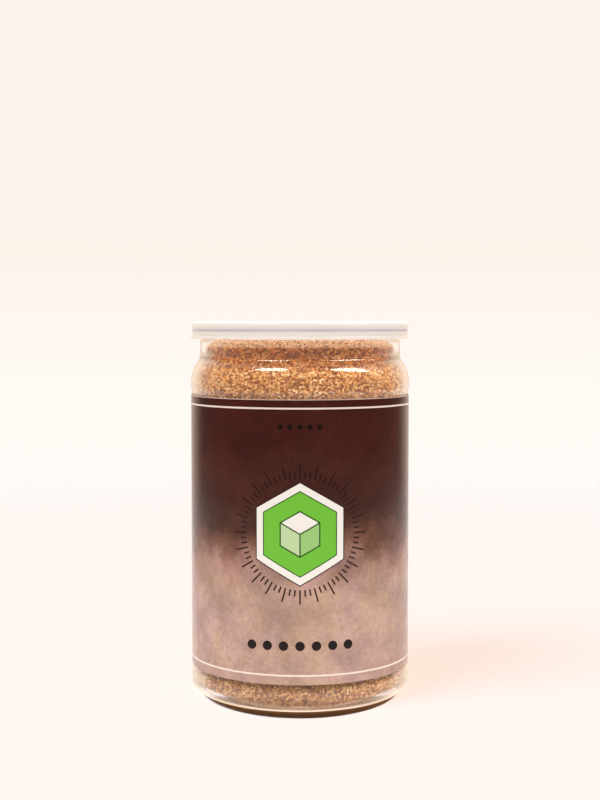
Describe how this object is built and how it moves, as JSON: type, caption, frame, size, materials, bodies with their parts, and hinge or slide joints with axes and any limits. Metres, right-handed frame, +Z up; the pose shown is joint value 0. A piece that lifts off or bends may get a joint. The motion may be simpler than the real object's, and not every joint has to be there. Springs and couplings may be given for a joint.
{
  "type": "jar of brown sugar",
  "caption": "Clear round plastic jar full of coarse free-flowing brown sugar, with a glossy wrap-around label and a shut translucent snap lid, standing upright.",
  "frame": {"origin": "middle of the foot, on the surface that the jar stands on", "axes": "+Z up along the jar's turning axis; the label's badge faces -Y"},
  "size_m": [0.084, 0.084, 0.142],
  "materials": {
    "jar_pet": "clear blown PET, glossy",
    "sugar_crystals": "coarse golden brown crystals, matte with small glints",
    "label_film": "printed and gloss-varnished film, dark brown fading to a clouded pinkish tan",
    "lid_ldpe": "natural translucent LDPE, satin"
  },
  "bodies": {
    "root": {"jar": "jar_pet", "sugar": "sugar_crystals", "label": "label_film", "lid": "lid_ldpe"}
  },
  "joints": []
}
